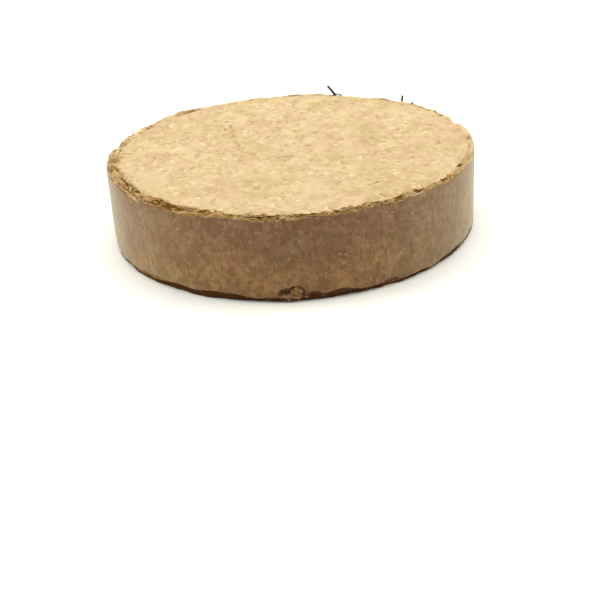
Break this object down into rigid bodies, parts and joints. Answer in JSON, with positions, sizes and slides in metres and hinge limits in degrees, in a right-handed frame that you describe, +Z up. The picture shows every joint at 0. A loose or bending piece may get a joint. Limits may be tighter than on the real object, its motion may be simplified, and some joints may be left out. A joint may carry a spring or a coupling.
{
  "type": "compressed coir disc",
  "caption": "Round cake of compressed coconut coir with a straw punched face, a loose ragged border and a brown moulded side.",
  "frame": {"origin": "centre of the face that the disc rests on", "axes": "+Z up along the disc's axis, -Y towards the side that has the crumbled place at its lower edge"},
  "size_m": [0.1, 0.1002, 0.025],
  "materials": {
    "coir": "matte pressed husk pith and short fibres, straw on the pressed faces and brown on the moulded side"
  },
  "bodies": {
    "root": {"coir_disc": "coir"}
  },
  "joints": []
}
